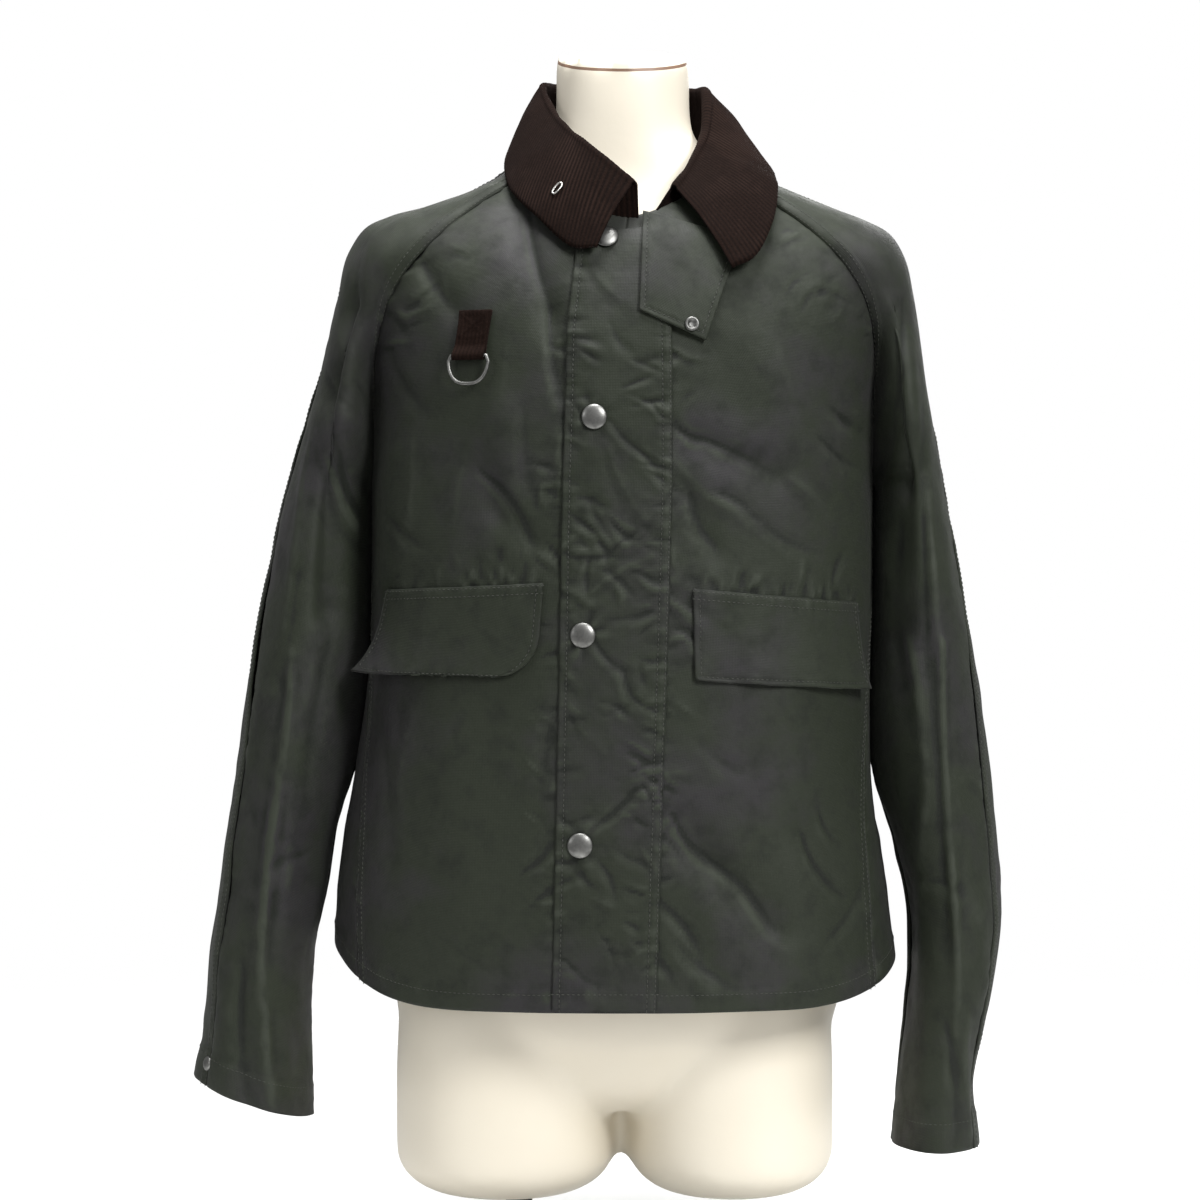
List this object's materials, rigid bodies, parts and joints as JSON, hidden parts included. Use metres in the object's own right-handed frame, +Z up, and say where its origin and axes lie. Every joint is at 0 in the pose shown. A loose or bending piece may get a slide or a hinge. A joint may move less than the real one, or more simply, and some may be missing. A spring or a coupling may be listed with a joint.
{
  "type": "waxed cotton jacket on a limbless dress form with a stand",
  "caption": "Short raglan-sleeved waxed cotton jacket with a corduroy collar, storm placket, flap pockets and a hanging ring, on a limbless dress form and stand.",
  "frame": {"origin": "middle of the bounding box's bottom, on the underside of the stand's base plate", "axes": "+X to the wearer's left, +Y to the back, +Z up; the fronts face -Y"},
  "size_m": [0.5959, 0.37, 0.9199],
  "materials": {
    "waxed_cotton": "dark olive waxed cotton, soft dull sheen",
    "corduroy": "dark brown corduroy",
    "fastener_metal": "dull nickel-plated metal",
    "form": "smooth cream moulding",
    "stand_socket": "black moulding",
    "stand_metal": "brushed steel"
  },
  "bodies": {
    "root": {"front_right": "waxed_cotton", "front_left": "waxed_cotton", "back": "waxed_cotton", "sleeve_right_front": "waxed_cotton", "sleeve_right_back": "waxed_cotton", "sleeve_left_front": "waxed_cotton", "sleeve_left_back": "waxed_cotton", "placket": "waxed_cotton", "flap_right": "waxed_cotton", "flap_left": "waxed_cotton", "throat_tab": "waxed_cotton", "collar": "corduroy", "ring_strap": "corduroy", "stud_1": "fastener_metal", "stud_2": "fastener_metal", "stud_3": "fastener_metal", "stud_4": "fastener_metal", "tab_stud": "fastener_metal", "cuff_stud": "fastener_metal", "collar_hook": "fastener_metal", "dress_form": "form", "stand_socket": "stand_socket", "stand_rod": "stand_metal", "stand_foot": "stand_metal", "base_plate": "stand_metal"},
    "ring": {"d_ring": "fastener_metal"}
  },
  "joints": [
    {"name": "ring_swing", "type": "hinge", "parent": "root", "child": "ring", "pos_m": [-0.09277, -0.12257, 0.68018], "axis": [-0.9387, 0.3448, 0], "range_deg": [0, 150]}
  ]
}
